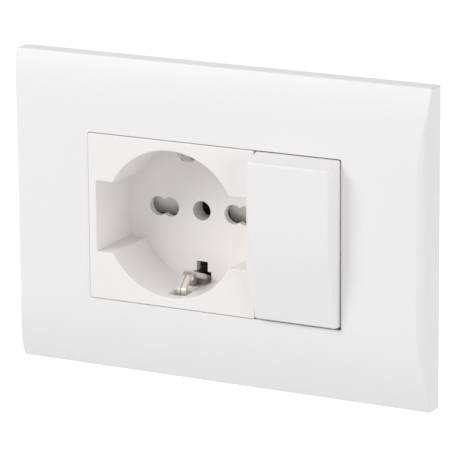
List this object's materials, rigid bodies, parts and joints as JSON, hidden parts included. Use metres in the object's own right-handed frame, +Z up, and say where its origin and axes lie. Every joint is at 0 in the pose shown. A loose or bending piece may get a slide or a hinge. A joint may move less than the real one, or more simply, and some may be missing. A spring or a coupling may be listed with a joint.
{
  "type": "switch and socket combination",
  "caption": "Flush wall unit with a grounded round-recess socket and a rocker switch side by side in a curved rectangular cover plate.",
  "frame": {"origin": "on the wall, midway between the two box screws", "axes": "+X to the right of someone who faces the wall, +Y into the wall, +Z up"},
  "size_m": [0.121, 0.0455, 0.0848],
  "materials": {
    "plate_plastic": "smooth white with a soft gloss",
    "front_plastic": "smooth white with a soft gloss",
    "key_plastic": "smooth white with a soft gloss",
    "frame_plastic": "dark grey glass filled plastic",
    "housing_plastic": "pale grey moulded plastic",
    "inner_plastic": "natural white moulded plastic",
    "shutter_plastic": "pale grey low friction plastic",
    "zinc_steel": "zinc plated",
    "spring_steel": "drawn wire",
    "nickel_strip": "nickel plated strip",
    "brass": "machined",
    "contact_strip": "stamped and bent",
    "contact_silver": "silver rivet"
  },
  "bodies": {
    "wall_unit": {"cover_plate": "plate_plastic", "mounting_frame": "frame_plastic", "box_screws": "zinc_steel", "socket_front": "front_plastic", "socket_base": "housing_plastic", "socket_housing_screws": "zinc_steel", "shutter_springs": "spring_steel", "live_contact": "contact_strip", "neutral_contact": "contact_strip", "earth_contact": "contact_strip", "earth_strap": "nickel_strip", "socket_terminals": "brass", "socket_terminal_screws": "zinc_steel", "fixed_rivet": "contact_silver", "switch_cover": "inner_plastic", "switch_base": "housing_plastic", "common_terminal": "contact_strip", "fixed_terminal": "contact_strip", "switch_terminals": "brass", "switch_terminal_screws": "zinc_steel"},
    "key": {"rocker_key": "key_plastic", "rocker_carrier": "inner_plastic", "plunger_spring": "spring_steel"},
    "plunger": {"plunger": "inner_plastic"},
    "see_saw": {"moving_contact": "contact_strip", "moving_rivet": "contact_silver"},
    "shutter": {"shutter": "shutter_plastic"}
  },
  "joints": [
    {"name": "key_rock", "type": "hinge", "parent": "wall_unit", "child": "key", "pos_m": [0.0246, -0.006, 0], "axis": [-1, 0, 0], "range_deg": [0, 11]},
    {"name": "contact_throw", "type": "hinge", "parent": "wall_unit", "child": "see_saw", "pos_m": [0.0246, 0.0096, 0], "axis": [-1, 0, 0], "range_deg": [-12, 0]},
    {"name": "plunger_slide", "type": "slide", "parent": "key", "child": "plunger", "axis": [0, -0.9954, -0.0958], "range_m": [0, 0.0006], "stiffness_N_per_m": 400, "springref_m": -0.002, "deforming": ["plunger_spring"]},
    {"name": "shutter_slide", "type": "slide", "parent": "wall_unit", "child": "shutter", "axis": [0, 0, 1], "range_m": [0, 0.006], "stiffness_N_per_m": 200, "springref_m": -0.003, "deforming": ["shutter_springs"]}
  ],
  "couplings": [
    {"joint": "contact_throw", "follows": "key_rock", "ratio": -1.0909}
  ]
}
